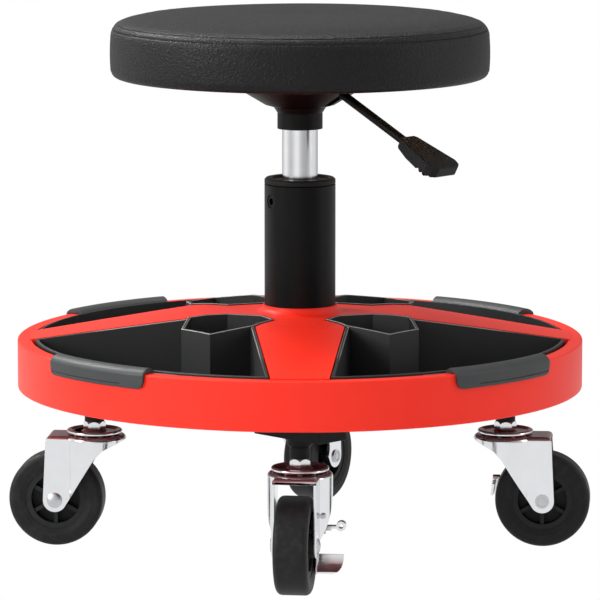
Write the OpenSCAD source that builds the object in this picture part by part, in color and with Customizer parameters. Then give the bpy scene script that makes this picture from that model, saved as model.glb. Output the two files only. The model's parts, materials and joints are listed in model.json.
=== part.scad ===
// Rolling workshop seat: a round padded stool on a gas lift, over a round tool
// tray that runs on four swivel casters. Millimetres, +Z up, the origin on the
// floor under the column, -Y towards the front.

/* [Seat] */
// Diameter of the padded seat
seat_d = 298; // [260:1:340]
// Height of the seat's straight side, from its lower face to the roll
seat_side_h = 30.8; // [24:0.1:50]
// Rise of the roll and the crown above the straight side
seat_crown_h = 18.3; // [15.5:0.1:26]
// Outward swell of the seat's side between its edges
seat_bulge = 0.5; // [0:0.1:4]
// Thickness of the board under the padding
seat_board_t = 9; // [6:1:15]
// Distance from the seat's edge to the board under the padding
board_inset = 14; // [13:0.5:30]

/* [Seat mount and lever] */
// Diameter of the mount's rim under the seat
dish_d = 124; // [122:1:170]
// Height of the mount, from the foot of its collar to the seat
dish_h = 41.2; // [39:0.2:60]
// Outer diameter of the mount's collar
collar_d = 35.6; // [34:0.2:42]
// Height of the mount's collar
collar_h = 12.5; // [6:0.5:14]
// Wall of the mount
dish_wall = 3; // [2:0.2:4]
// Diameter of the lever's rod
lever_d = 7; // [5:0.5:8]
// Distance of the lever's rod below the seat
lever_drop = 9; // [8:0.2:12]
// Reach of the lever's sloping part, measured level
lever_reach = 68; // [50:1:90]
// Slope of the lever's outer part in degrees
lever_slope = 27.5; // [10:0.5:40]
// Direction of the lever in degrees from the right-hand side
lever_angle = -40; // [-80:1:-10]
// Length of the paddle
paddle_l = 46; // [40:1:60]
// Width of the paddle's outer end, before its corners are cut
paddle_w = 39; // [28:1:44]
// Width of the paddle where the rod enters
paddle_neck_w = 20; // [15:1:24]
// Thickness of the paddle
paddle_t = 10.5; // [8.5:0.5:12]

/* [Gas lift] */
// Diameter of the gas cylinder
cyl_d = 28; // [26:0.5:30]
// Rise of the seat from its lowest setting
lift_travel = 110; // [60:5:110]
// Length of cylinder that shows between column and collar at the lowest setting
cyl_show = 38.7; // [20:0.1:60]
// Diameter of the piston rod
rod_d = 10; // [8:0.5:12]
// Outer diameter of the column tube
tube_d = 56; // [50:0.2:60]
// Wall of the column tube
tube_wall = 2.5; // [2:0.1:4]
// Height of the column above its base plate, with its cap
column_h = 160.1; // [150:0.1:190]

/* [Tray] */
// Diameter of the round tray frame
rim_d = 446; // [430:1:500]
// Height of the rim
rim_h = 38.3; // [34:0.1:44]
// Width of the rim's flat top
rim_top_w = 11; // [10:0.5:16]
// Wall of the moulded tray frame
frame_wall = 2.6; // [2:0.1:3.2]
// Rise of the deck's level middle above the rim
deck_rise = 20.7; // [16:0.1:26]
// Radius of the deck's level middle
deck_flat_r = 86; // [80:1:96]
// Height of the collar that hugs the column, above the level middle
hub_flare_h = 5.2; // [2:0.1:10]
// Half width of a spoke at the rim
spoke_half_out = 22; // [18:0.5:30]
// Half width of a spoke at the tool cups
spoke_half_in = 34.5; // [32:0.5:40]
// Wall of the trays that drop in
tray_wall = 2.4; // [1.6:0.2:3]
// Gap between a tray and the spokes
tray_gap = 1; // [0.5:0.1:2]
// Corner radius of a tool cup
cup_r = 33.4; // [30:0.2:36]
// Height of a tool cup's rim above the deck
cup_proud = 1; // [0.4:0.1:4]
// Distance of a tool cup from the centre, left or right
cup_x = 60; // [58:1:64]
// Distance of a tool cup from the centre, front or rear
cup_y = 63; // [62:1:68]
// Arc of a grip along the rim in degrees
grip_angle = 26.4; // [16:0.2:36]
// Thickness of a grip's flaps
grip_t = 2.3; // [1.6:0.1:2.6]
// Depth of a grip's outer flap below the rim's top
grip_flap_h = 11; // [8:0.5:16]

/* [Casters] */
// Diameter of a wheel
wheel_d = 75; // [70:1:78]
// Width of a tyre
wheel_w = 26.2; // [22:0.1:28]
// Distance from the swivel axis to the axle
trail = 30; // [26:0.5:30]
// Distance of the casters from the centre
stem_r = 163; // [150:1:168]
// Diameter of the fork's round top
fork_d = 50; // [48:0.5:56]
// Thickness of the fork's sheet metal
fork_t = 2.5; // [2:0.1:3]
// Diameter of the caster's stem
stem_d = 10; // [8:0.5:11]
// Length of the spacer sleeve over the stem
sleeve_h = 16.3; // [13:0.1:40]
// Diameter of the axle
axle_d = 8; // [6:0.5:9]
// Direction in which the front wheel trails, in degrees
trail_angle_front = 263; // [0:1:360]
// Direction in which the right wheel trails, in degrees
trail_angle_right = 355; // [0:1:360]
// Direction in which the rear wheel trails, in degrees
trail_angle_rear = 60; // [0:1:360]
// Direction in which the left wheel trails, in degrees
trail_angle_left = 175; // [0:1:360]

/* [Steel frame] */
// Width of an arm of the steel frame
arm_w = 26; // [20:1:27]
// Height of an arm of the steel frame
arm_h = 20; // [14:1:22]
// Wall of the arms
arm_wall = 2; // [1.5:0.1:3]
// Length of the block under the column
foot_l = 72; // [60:1:90]
// Width of the block under the column
foot_w = 31; // [28:1:40]
// Height of the block under the column
foot_h = 27; // [24:1:40]
// Length of the block on each caster's stem
block_l = 69.5; // [50:0.5:76]
// Width of the block on each caster's stem
block_w = 29; // [20:0.5:34]
// Height of the block on each caster's stem
block_h = 13.2; // [8:0.1:20]

/* [Hidden] */

$fn = 64;
// One overrun for every cut
over = 1;
// Fits: pieces that slide or turn, pieces that are seated, and faces kept apart
run_fit = 0.05;
seat_fit = 0.05;
rest_gap = 0.3;

// Colours as the photograph shows them
red = [0.86, 0.16, 0.10];
black = [0.10, 0.10, 0.11];
vinyl = [0.13, 0.13, 0.14];
charcoal = [0.20, 0.21, 0.22];
chrome = [0.82, 0.83, 0.85];
steel = [0.55, 0.56, 0.58];
timber = [0.70, 0.56, 0.38];

// Heights from the floor up
wheel_gap = 11.3;
race_gap = 0.7;
race_t = 3.5;
nut_h = 6;
base_plate_t = 5;
axle_z = wheel_d / 2;
fork_under_z = wheel_d + wheel_gap;
fork_top_z = fork_under_z + fork_t;
race_z = fork_top_z + race_gap;
nut_z = race_z + race_t;
sleeve_z = nut_z + nut_h;
block_z = sleeve_z + sleeve_h;
frame_z = block_z + block_h;
arm_top_z = frame_z + arm_h;
plate_z = frame_z + base_plate_t;
rim_z = frame_z + rest_gap;
rim_top_z = rim_z + rim_h;
deck_top_z = rim_top_z + deck_rise;
hub_z = deck_top_z + hub_flare_h;
column_top_z = plate_z + column_h;
collar_z = column_top_z + cyl_show;
seat_z = collar_z + dish_h;
foot_z = frame_z - foot_h;

// Radii of the tray frame
rim_r = rim_d / 2;
rim_in = rim_r - rim_top_w;
rim_edge = 1.4;
rim_inner_wall = 2.4;
deck_step = 1;
deck_knee = 6;
tube_r = tube_d / 2;
hub_hole_r = tube_r + rest_gap + seat_fit;
ledge_w = 7;
ledge_t = 2.6;
hub_flare_w = 6.5;
hub_flare_lip = 0.8;
boss_r = 115;
boss_d = 12;
deck_screw_d = 4;
deck_screw_head_d = 9;
deck_screw_head_h = 2.6;
deck_screw_bite = 16;

// Steel frame and column foot
ring_wall = 5;
arm_end_share = 1.11;
base_plate_r = tube_r + 9;
foot_turn = -45;
block_turn = 45;
foot_bolt_d = 8;
foot_bolt_head_d = 13;
foot_bolt_head_h = 8;
foot_bolt_sink = 9;
foot_bolt_inset = 11;

// Gas lift
cyl_wall = 1.8;
gland_h = 8;
piston_h = 8;
rod_tip_d = rod_d - 2;
bearing_h = 6;
bearing_d = 24;
bearing_ball_d = 3;
bearing_balls = 8;
bump_h = 7.3;
bump_d = 24;
cap_h = 4.7;
cap_edge = 1.4;
cap_plug_h = 6;
cap_gap = 0.6;
cap_recess_w = 8;
cap_recess_h = 1.6;
bush_l = 50;
clip_t = 2;
clip_d = 16;
clip_lift = 7;
foot_counterbore_d = 22;
foot_counterbore_h = 10;
rod_end_lift = 4;
cone_l = 20;
cone_top_d = cyl_d - 1.2;
valve_d = 6;
valve_top_wall = 14;
screw_hole_d = 10.5;
screw_drop = 17.6;
screw_angle = 214;
screw_sink = 0.8;

cyl_top_z = collar_z + cone_l;
bump_z = plate_z + bearing_h;
cyl_z = bump_z + bump_h + rest_gap;
piston_z = cyl_z + lift_travel + gland_h + rest_gap;
bush_top_z = column_top_z - cap_h - cap_gap - cap_plug_h;
valve_top_z = seat_z - lever_drop - lever_d / 2 - rest_gap;

// Seat mount and lever
lever_z = seat_z - lever_drop;
fulcrum_s = 22;
lever_tail = 5;
lever_pin_d = 3;
lever_bend_s = fulcrum_s + 15.7;
lever_bend_d = lever_d + 0.6;
ear_t = 4;
ear_l = 9;
ear_h = 4;
ear_gap = 0.4;
slot_gap = 1.2;
slot_top = 3.5;
mount_screw_d = 6;
mount_screw_head_d = 10.5;
mount_screw_head_h = 3;
mount_screw_angle = 45;
mount_screw_inset = 9;
mount_screw_bite = 7;
mount_rim_h = 2;
// Outline of the mount as shares of its own width and height, from the collar up
dish_r_shares = [0.677, 0.447, 0.335];
dish_z_shares = [0.667, 0.461, 0.413];

seat_board_d = seat_d - 2 * board_inset;

// Paddle
paddle_corner_l = 8.5;
paddle_corner_w = 7.7;
paddle_chamfer = 2.5;
paddle_top_share = 0.5;
paddle_belly_share = 0.8;
paddle_belly_at_share = 0.3;
paddle_rib_d = 3.4;
paddle_ribs = 3;
paddle_rib_pitch = 6;
rod_in_paddle_share = 0.5;

// Cushion
seam_draw = 1.3;
seam_h = 1.6;
seam_angle = 27;
edge_roll = 14.4;
crown_power = 4.6;
bottom_round = 5;
bottom_draw = 1;

// Casters
race_d = fork_d - 5.8;
race_edge = 1.6;
ball_d = 4;
ball_ring_d = 34;
ball_count = 10;
ball_gap = 0.1;
nut_af = 15.5;
sleeve_d = 15.6;
sleeve_wide_d = 19.2;
sleeve_neck_h = 8.5;
sleeve_chamfer = 2;
top_nut_af = 15;
top_nut_h = 7;
stem_over = 3;
kingpin_d = 22;
kingpin_t = 3;
fork_round = 3.5;
leg_gap = 1.6;
leg_end_r = 9.5;
leg_corner_r = 4;
leg_flare = 2.4;
// The skirt's lower edge, as shares of the fork's radius and of its depth at the legs
skirt_drop = 17.5;
skirt_x_shares = [-1, -0.69, -0.35, -0.08];
skirt_z_shares = [0.2, 0.38, 0.6, 1];
axle_head_d = 12.4;
axle_head_h = 2.2;
rivet_d = 11;
rivet_t = 1.2;
rivet_groove_w = 0.8;
tyre_round = 4.5;
tyre_in_r = 24;
tyre_lip = 1.2;
hub_recess_r = 19.5;
hub_boss_r = 9;
hub_web_t = 5;
hub_ribs = 6;
hub_rib_t = 3;
hub_rim_step = 0.5;
brake_t = 2;
brake_pin_d = 4;
brake_pin_r = 25;
brake_pin_angle = 125;
brake_pin_dome = 0.8;
brake_knuckle_d = 9;
// Outline of the pedal's side plate, round the wheel's centre
brake_r_shares = [0.71, 0.80, 1.125, 1.095, 0.84, 0.84, 0.653, 0.61, 0.595, 0.525];
brake_angles = [115.6, 128.2, 166.3, 177.2, 203.2, 235, 235, 191, 139.5, 120.5];
brake_lug_gap = 1.8;
brake_lug_reach = 5;
brake_lug_from = 164;
brake_lug_to = 177;
brake_tab_at = 41;
brake_tab_w = 6;
brake_tab_rise = 6.5;
brake_root_w = 9.7;
brake_root_step = 5.2;
brake_root_drop = 5;
brake_curl_y = 30.7;
brake_curl_rise = 8.5;
brake_curl_d = 7.6;
brake_curl_bore = 3.6;
brake_tongue_r = 28.5;
brake_tongue_from = 203;
brake_tongue_to = 235;
brake_tongue_y = 34;
brake_tongue_round = 9;

stem_angles = [270, 0, 90, 180];
trail_angles = [trail_angle_front, trail_angle_right, trail_angle_rear, trail_angle_left];

// Grips
grip_fit = rest_gap;
grip_crown = 4.2;
grip_extra_angle = 5.5;
grip_inner_h = grip_flap_h + 2;
grip_corner_r = 6;

// Helpers

function unit(v) = v / norm(v);
function left_of(v) = [-v.y, v.x];
function lerp(a, b, t) = a + (b - a) * t;
function polar(r, a) = [r * cos(a), r * sin(a)];
function arc(centre, r, from, to, steps) =
    [for (i = [0:steps]) centre + polar(r, lerp(from, to, i / steps))];

// Moves each edge of a counter-clockwise outline inwards by d
function inset(pts, d) =
    let (n = len(pts))
    [for (i = [0:n - 1])
        let (n1 = left_of(unit(pts[i] - pts[(i + n - 1) % n])),
             n2 = left_of(unit(pts[(i + 1) % n] - pts[i])))
        pts[i] + d * (n1 + n2) / (1 + n1 * n2)];

module tube(outer_r, inner_r, h) {
    difference() {
        cylinder(r = outer_r, h = h);
        translate([0, 0, -over]) cylinder(r = inner_r, h = h + 2 * over);
    }
}

// Draws an outline in X and Z and runs it along Y, or one in Y and Z and runs it along X
module across(from_y, to_y) {
    translate([0, to_y, 0]) rotate([90, 0, 0]) linear_extrude(to_y - from_y) children();
}

module along_x(from_x, to_x) {
    translate([from_x, 0, 0]) rotate([90, 0, 90]) linear_extrude(to_x - from_x) children();
}

// A low round cap that stands on its flat side
module dome(d, h) {
    ball_r = (d * d / 4 + h * h) / (2 * h);
    intersection() {
        translate([0, 0, h - ball_r]) sphere(r = ball_r);
        cylinder(d = d, h = h);
    }
}

module hex(af, h) {
    cylinder(d = af / cos(30), h = h, $fn = 6);
}

module wedge(from, to, h) {
    linear_extrude(h)
        polygon(concat([[0, 0]], arc([0, 0], rim_d, from, to, 4)));
}

// Stands a thing on each of the four stems
module at_stems() {
    for (a = stem_angles)
        translate(concat(polar(stem_r, a), 0)) rotate(a) children();
}

// Stands a thing on one caster, with +X along the trail
module at_caster(i) {
    translate(concat(polar(stem_r, stem_angles[i]), 0)) rotate(trail_angles[i]) children();
}

// Tray frame

// Height of the deck's upper face at radius r: level in the middle, then a cone
function deck_z(r) =
    rim_top_z + lerp(deck_rise, deck_step, max(0, r - deck_flat_r) / (rim_in - deck_flat_r));
deck_radii = [rim_in + rim_inner_wall / 2, deck_flat_r + deck_knee, deck_flat_r - deck_knee, hub_hole_r];

// Half width of a spoke at distance r from the centre
spoke_in_at = stem_r / 2;
spoke_out_at = rim_in - rim_inner_wall;
function spoke_half(r) =
    lerp(spoke_half_in, spoke_half_out, (r - spoke_in_at) / (spoke_out_at - spoke_in_at));

// Corners of a tool cup as shares of its radius, round from the rim side
cup_corner_shares = [[0.96, 0.30], [0.28, 1.03], [-1.23, -0.30], [-0.96, -0.88], [-0.09, -1.19]];
cup_spoke_share = [0.82, 0.57];
cup_corners = [for (s = cup_corner_shares) [cup_x, cup_y] + cup_r * s];
cup_at_side = cup_x + cup_r * cup_spoke_share.x;
cup_at_front = cup_y + cup_r * cup_spoke_share.y;
corner_side = [cup_at_side, spoke_half(cup_at_side)];
corner_front = [spoke_half(cup_at_front), cup_at_front];
cup_outline = [
    corner_side, cup_corners[0], cup_corners[1], corner_front,
    cup_corners[2], cup_corners[3], cup_corners[4]
];

// Outline of one quarter's opening, run out past the rim
opening_reach = rim_r + rim_top_w;
opening_outline = [
    [opening_reach, spoke_half(opening_reach)],
    [opening_reach, opening_reach],
    [spoke_half(opening_reach), opening_reach],
    corner_front, cup_corners[2], cup_corners[3], cup_corners[4], corner_side
];

module quarter(side) {
    mirror([side.x < 0 ? 1 : 0, 0, 0]) mirror([0, side.y < 0 ? 1 : 0, 0]) children();
}

module opening_shape(d, r) {
    intersection() {
        polygon(inset(opening_outline, d));
        circle(r = r, $fn = 128);
    }
}

// Everything under the deck's upper face, less a drop
module under_deck(drop) {
    rotate_extrude($fn = 128)
        polygon(concat(
            [[0, rim_z], [rim_in + rim_inner_wall / 2, rim_z]],
            [for (r = deck_radii) [r, deck_z(r) - drop]],
            [[0, deck_z(hub_hole_r) - drop]]
        ));
}

module rim_ring() {
    rotate_extrude($fn = 128)
        polygon(concat(
            [[rim_in, rim_z]],
            [[rim_in + rim_inner_wall, rim_z]],
            [[rim_in + rim_inner_wall, rim_top_z - frame_wall]],
            [[rim_r - frame_wall, rim_top_z - frame_wall]],
            [[rim_r - frame_wall, rim_z]],
            arc([rim_r - rim_edge, rim_z + rim_edge], rim_edge, -90, 0, 4),
            arc([rim_r - rim_edge, rim_top_z - rim_edge], rim_edge, 0, 90, 4),
            [[rim_in, rim_top_z]]
        ));
}

// The ring's body, with the gap round it, that the deck and its walls are cut back from
module ring_space() {
    rotate_extrude($fn = 128)
        translate([rim_in - rest_gap, rim_z - over]) square([rim_top_w, rim_h + over]);
}

module tray_rim() color(red) rim_ring();

module tray_deck() color(red) {
    difference() {
        union() {
            difference() {
                rotate_extrude($fn = 128)
                    polygon(concat(
                        [for (r = deck_radii) [r, deck_z(r)]],
                        [for (i = [len(deck_radii) - 1:-1:0])
                            [deck_radii[i], deck_z(deck_radii[i]) - frame_wall]]
                    ));
                for (x = [-1, 1], y = [-1, 1])
                    quarter([x, y]) translate([0, 0, rim_z]) linear_extrude(hub_z)
                        opening_shape(-frame_wall, rim_in + rim_inner_wall);
            }
            hub_flare();
            for (a = stem_angles) rotate(a) translate([boss_r, 0, arm_top_z])
                cylinder(d = boss_d, h = deck_z(boss_r + boss_d / 2) - frame_wall / 2 - arm_top_z);
        }
        for (a = stem_angles) rotate(a) translate([boss_r, 0, arm_top_z - over])
            cylinder(d = deck_screw_d, h = deck_screw_bite + 2 * over);
        ring_space();
    }
}

module tray_skirts() color(red) {
    difference() {
        intersection() {
            under_deck(0);
            translate([0, 0, rim_z]) linear_extrude(hub_z)
                for (x = [-1, 1], y = [-1, 1]) quarter([x, y]) difference() {
                    opening_shape(-frame_wall, rim_in + rim_inner_wall / 2);
                    opening_shape(0, rim_in + rim_inner_wall);
                }
        }
        ring_space();
    }
}

module tray_ledges() color(red) {
    translate([0, 0, rim_z]) linear_extrude(ledge_t)
        for (x = [-1, 1], y = [-1, 1]) quarter([x, y]) difference() {
            opening_shape(0, rim_in - rest_gap);
            opening_shape(ledge_w - frame_wall, rim_in - ledge_w);
        }
}

module hub_flare() {
    flare_out = hub_hole_r + hub_flare_w;
    rotate_extrude($fn = 128)
        polygon(concat(
            [[hub_hole_r, deck_top_z - frame_wall], [flare_out, deck_top_z - frame_wall]],
            [for (a = [270:-15:180])
                [flare_out + (hub_flare_w - hub_flare_lip) * cos(a), hub_z + hub_flare_h * sin(a)]],
            [[hub_hole_r, hub_z]]
        ));
}

// Trays

module tray(side) color(charcoal) {
    floor_z = rim_z + ledge_t;
    tray_r = rim_in - grip_fit - grip_t - rest_gap;
    inner_r = tray_r - tray_wall;
    quarter(side) {
        translate([0, 0, floor_z]) linear_extrude(tray_wall) opening_shape(tray_gap, tray_r);
        intersection() {
            under_deck(rest_gap);
            translate([0, 0, floor_z]) linear_extrude(hub_z) difference() {
                opening_shape(tray_gap, tray_r);
                opening_shape(tray_gap + tray_wall, inner_r);
            }
        }
        intersection() {
            under_deck(-cup_proud);
            translate([0, 0, floor_z]) linear_extrude(hub_z) intersection() {
                opening_shape(tray_gap, tray_r);
                difference() {
                    polygon(cup_outline);
                    intersection() {
                        opening_shape(tray_gap + tray_wall, inner_r);
                        polygon(inset(cup_outline, tray_wall));
                    }
                }
            }
        }
    }
}

module tray_front_left() tray([-1, -1]);
module tray_front_right() tray([1, -1]);
module tray_rear_left() tray([-1, 1]);
module tray_rear_right() tray([1, 1]);

// Grips

module grip_section(outer) {
    out_r = rim_r + grip_fit;
    in_r = rim_in - grip_fit;
    top_z = rim_top_z + grip_fit;
    half_w = (out_r - in_r) / 2 + grip_t;
    mid_r = (out_r + in_r) / 2;
    crown_r = (half_w * half_w + grip_crown * grip_crown) / (2 * grip_crown);
    half_a = asin(half_w / crown_r);
    polygon(concat(
        [[in_r - grip_t, rim_top_z - grip_inner_h], [in_r, rim_top_z - grip_inner_h]],
        outer
            ? [[in_r, top_z], [out_r, top_z], [out_r, rim_top_z - grip_flap_h],
               [out_r + grip_t, rim_top_z - grip_flap_h]]
            : [[in_r, top_z]],
        outer
            ? arc([mid_r, top_z + grip_crown - crown_r], crown_r, 90 - half_a, 90 + half_a, 12)
            : [[in_r - grip_t, top_z]]
    ));
}

// Rounds the lower corners of a flap that spans an arc, seen along the radius
module flap_mask(span, h) {
    half_l = (rim_r + grip_t) * sin(span / 2);
    top_z = rim_top_z + grip_crown + rest_gap;
    translate([rim_in - ledge_w, 0, 0]) rotate([90, 0, 90]) linear_extrude(rim_top_w + 2 * ledge_w)
        polygon(concat(
            [[half_l, top_z + over], [-half_l, top_z + over]],
            arc([-half_l + grip_corner_r, rim_top_z - h + grip_corner_r], grip_corner_r, 180, 270, 6),
            arc([half_l - grip_corner_r, rim_top_z - h + grip_corner_r], grip_corner_r, 270, 360, 6)
        ));
}

module grip(angle, turn) color(charcoal) {
    low_z = rim_top_z - grip_inner_h - over;
    rotate(angle) {
        intersection() {
            rotate_extrude($fn = 128) grip_section(true);
            translate([0, 0, low_z]) wedge(-grip_angle / 2, grip_angle / 2, rim_h);
            flap_mask(grip_angle, grip_inner_h);
        }
        intersection() {
            rotate_extrude($fn = 128) grip_section(false);
            translate([0, 0, low_z])
                wedge(turn > 0 ? 0 : -grip_angle / 2 - grip_extra_angle,
                      turn > 0 ? grip_angle / 2 + grip_extra_angle : 0, rim_h);
        }
    }
}

module grip_front_left() grip(225, 1);
module grip_front_right() grip(315, -1);
module grip_rear_left() grip(135, -1);
module grip_rear_right() grip(45, 1);

// Steel frame under the deck

module cross_frame() color(black) {
    arm_end = stem_r * arm_end_share;
    difference() {
        union() {
            for (a = stem_angles) rotate(a) difference() {
                translate([0, -arm_w / 2, frame_z]) cube([arm_end, arm_w, arm_h]);
                translate([tube_r + ring_wall, -arm_w / 2 + arm_wall, frame_z + arm_wall])
                    cube([arm_end, arm_w - 2 * arm_wall, arm_h - 2 * arm_wall]);
            }
            translate([0, 0, frame_z]) cylinder(r = base_plate_r, h = base_plate_t);
            translate([0, 0, frame_z]) cylinder(r = tube_r + ring_wall, h = arm_h + ring_wall);
            at_stems() rotate(block_turn) translate([-block_l / 2, -block_w / 2, block_z])
                cube([block_l, block_w, block_h]);
        }
        translate([0, 0, plate_z]) cylinder(r = tube_r + seat_fit, h = arm_h + 2 * ring_wall);
        translate([0, 0, frame_z - over]) cylinder(d = rod_tip_d + 2 * run_fit, h = 2 * over + base_plate_t);
        at_stems() translate([0, 0, block_z - over])
            cylinder(d = stem_d + 2 * seat_fit, h = block_h + arm_h + 2 * over);
        for (a = stem_angles) rotate(a) translate([boss_r, 0, frame_z - over])
            cylinder(d = deck_screw_d + 2 * seat_fit, h = arm_h + 2 * over);
        foot_bolt_places() translate([0, 0, frame_z - over])
            cylinder(d = foot_bolt_d + 2 * seat_fit, h = base_plate_t - rest_gap + over);
    }
}

module deck_screws() color(steel)
    for (a = stem_angles) rotate(a) translate([boss_r, 0, 0]) {
        translate([0, 0, frame_z - deck_screw_head_h])
            cylinder(d = deck_screw_head_d, h = deck_screw_head_h);
        translate([0, 0, frame_z - over])
            cylinder(d = deck_screw_d - 2 * seat_fit, h = arm_h + deck_screw_bite);
    }

module foot_bolt_places() {
    for (s = [-1, 1])
        rotate(foot_turn) translate([s * (foot_l / 2 - foot_bolt_inset), 0, 0]) children();
}

module column_foot() color(black) {
    difference() {
        rotate(foot_turn) translate([-foot_l / 2, -foot_w / 2, foot_z]) cube([foot_l, foot_w, foot_h]);
        translate([0, 0, foot_z - over]) cylinder(d = rod_tip_d + 2 * run_fit, h = foot_h + 2 * over);
        translate([0, 0, foot_z - over]) cylinder(d = foot_counterbore_d, h = foot_counterbore_h + over);
        foot_bolt_places() translate([0, 0, foot_z - over]) {
            cylinder(d = foot_bolt_d + 2 * seat_fit, h = foot_h + 2 * over);
            cylinder(d = foot_bolt_head_d + 2 * rest_gap, h = foot_bolt_sink + over);
        }
    }
}

module foot_bolts() color(steel)
    foot_bolt_places() difference() {
        union() {
            translate([0, 0, foot_z + foot_bolt_sink - foot_bolt_head_h])
                cylinder(d = foot_bolt_head_d, h = foot_bolt_head_h);
            translate([0, 0, foot_z + foot_bolt_sink])
                cylinder(d = foot_bolt_d, h = foot_h - foot_bolt_sink + base_plate_t - 2 * rest_gap);
        }
        translate([0, 0, foot_z + foot_bolt_sink - foot_bolt_head_h - over])
            hex(foot_bolt_head_d / 2, foot_bolt_head_h / 2 + over);
    }

// Column

module column_tube() color(black) {
    difference() {
        translate([0, 0, plate_z]) tube(tube_r, tube_r - tube_wall, column_h - cap_h - cap_gap);
        screw_place() cylinder(d = screw_hole_d, h = tube_r);
    }
}

module screw_place() {
    rotate(screw_angle) translate([0, 0, column_top_z - screw_drop]) rotate([0, 90, 0]) children();
}

module column_cap() color(black) {
    translate([0, 0, column_top_z]) mirror([0, 0, 1]) difference() {
        union() {
            cylinder(r1 = tube_r - cap_edge, r2 = tube_r, h = cap_edge);
            translate([0, 0, cap_edge]) cylinder(r = tube_r, h = cap_h - cap_edge);
            cylinder(r = tube_r - tube_wall - seat_fit, h = cap_h + cap_gap + cap_plug_h);
        }
        translate([0, 0, -over]) cylinder(d = cyl_d + 4 * rest_gap, h = cap_h + cap_gap + cap_plug_h + 2 * over);
        translate([0, 0, -over]) cylinder(r = cyl_d / 2 + cap_recess_w, h = cap_recess_h + over);
    }
}

module guide_bush() color(charcoal) {
    difference() {
        translate([0, 0, bush_top_z - bush_l])
            tube(tube_r - tube_wall - seat_fit, cyl_d / 2 + run_fit, bush_l - rest_gap);
        screw_place() translate([0, 0, cyl_d / 2 + tube_wall]) cylinder(d = screw_hole_d, h = tube_r);
    }
}

module column_screw() color(black) {
    screw_r = cyl_d / 2 + tube_wall + rest_gap;
    screw_place() translate([0, 0, screw_r]) difference() {
        cylinder(d = screw_hole_d - rest_gap, h = tube_r - screw_sink - screw_r);
        translate([0, 0, tube_r - screw_sink - screw_r - tube_wall])
            hex(screw_hole_d / 2, tube_wall + over);
    }
}

// Two washers with a ring of balls between them, on the base plate
module thrust_bearing() color(chrome) {
    washer_t = (bearing_h - bearing_ball_d) / 2 + bearing_ball_d / 4;
    ball_r = bearing_d / 2 - bearing_ball_d;
    groove_d = bearing_ball_d + 2 * run_fit;
    difference() {
        for (z = [plate_z, plate_z + bearing_h - washer_t])
            translate([0, 0, z]) tube(bearing_d / 2, rod_tip_d / 2 + run_fit, washer_t);
        translate([0, 0, plate_z + bearing_h / 2]) rotate_extrude()
            translate([ball_r, 0]) circle(d = groove_d, $fn = 24);
    }
    for (i = [0:bearing_balls - 1])
        translate(concat(polar(ball_r, i * 360 / bearing_balls), plate_z + bearing_h / 2))
            sphere(d = bearing_ball_d, $fn = 24);
}

module bump_stop() color(black)
    translate([0, 0, bump_z]) tube(bump_d / 2, rod_d / 2 + run_fit, bump_h);

// Gas lift

module piston_rod() color(chrome) {
    groove_z = foot_z + clip_lift;
    difference() {
        union() {
            translate([0, 0, foot_z + rod_end_lift])
                cylinder(d = rod_tip_d, h = bump_z - foot_z - rod_end_lift);
            translate([0, 0, bump_z]) cylinder(d = rod_d, h = piston_z + piston_h - bump_z);
        }
        translate([0, 0, groove_z]) tube(rod_d, rod_tip_d / 2 - clip_t / 3, clip_t);
    }
}

module retaining_clip() color(steel)
    translate([0, 0, foot_z + clip_lift + rest_gap / 3]) difference() {
        tube(clip_d / 2, rod_tip_d / 2 - clip_t / 3 + seat_fit, clip_t - 2 * rest_gap / 3);
        translate([0, -clip_t / 2, -over]) cube([clip_d, clip_t, clip_t + 2 * over]);
    }

module piston_head() color(black)
    translate([0, 0, piston_z + rest_gap]) difference() {
        tube(cyl_d / 2 - cyl_wall - run_fit, rod_d / 2 + seat_fit, piston_h - rest_gap);
        translate([0, 0, piston_h / 3])
            tube(cyl_d, cyl_d / 2 - 2 * cyl_wall, piston_h / 4);
    }

module gas_cylinder() color(chrome) {
    bore_d = cyl_d - 2 * cyl_wall;
    difference() {
        union() {
            translate([0, 0, cyl_z]) cylinder(d = cyl_d, h = collar_z - cyl_z);
            translate([0, 0, collar_z]) cylinder(d1 = cyl_d, d2 = cone_top_d, h = cone_l);
        }
        translate([0, 0, cyl_z - over]) cylinder(d = bore_d, h = cyl_top_z - valve_top_wall - cyl_z + over);
        translate([0, 0, cyl_z]) cylinder(d = valve_d + 2 * run_fit, h = cyl_top_z);
    }
}

module cylinder_gland() color(black)
    translate([0, 0, cyl_z]) tube(cyl_d / 2 - cyl_wall - seat_fit, rod_d / 2 + run_fit, gland_h);

module valve_pin() color(chrome) {
    low_z = cyl_top_z - valve_top_wall;
    translate([0, 0, low_z]) {
        cylinder(d = valve_d, h = valve_top_z - low_z - valve_d / 6);
        translate([0, 0, valve_top_z - low_z - valve_d / 6])
            cylinder(d1 = valve_d, d2 = valve_d / 2, h = valve_d / 6);
    }
}

// Seat mount and lever

// Points of the mount's outline from its foot to its rim
mount_outline = concat(
    [[collar_d / 2, 0], [collar_d / 2, collar_h]],
    [for (i = [2:-1:0]) [dish_d / 2 * dish_r_shares[i], dish_h * dish_z_shares[i]]],
    [[dish_d / 2, dish_h - mount_rim_h], [dish_d / 2, dish_h]]
);
cavity_floor = dish_h * dish_z_shares[1] + dish_wall;
cavity_r = dish_d / 2 * dish_r_shares[0];

module lever_frame() {
    rotate(lever_angle) translate([0, 0, lever_z]) children();
}

module mount_screw_places() {
    for (i = [0:3]) rotate(lever_angle + mount_screw_angle + 90 * i)
        translate([dish_d / 2 - mount_screw_inset, 0, 0]) children();
}

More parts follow.
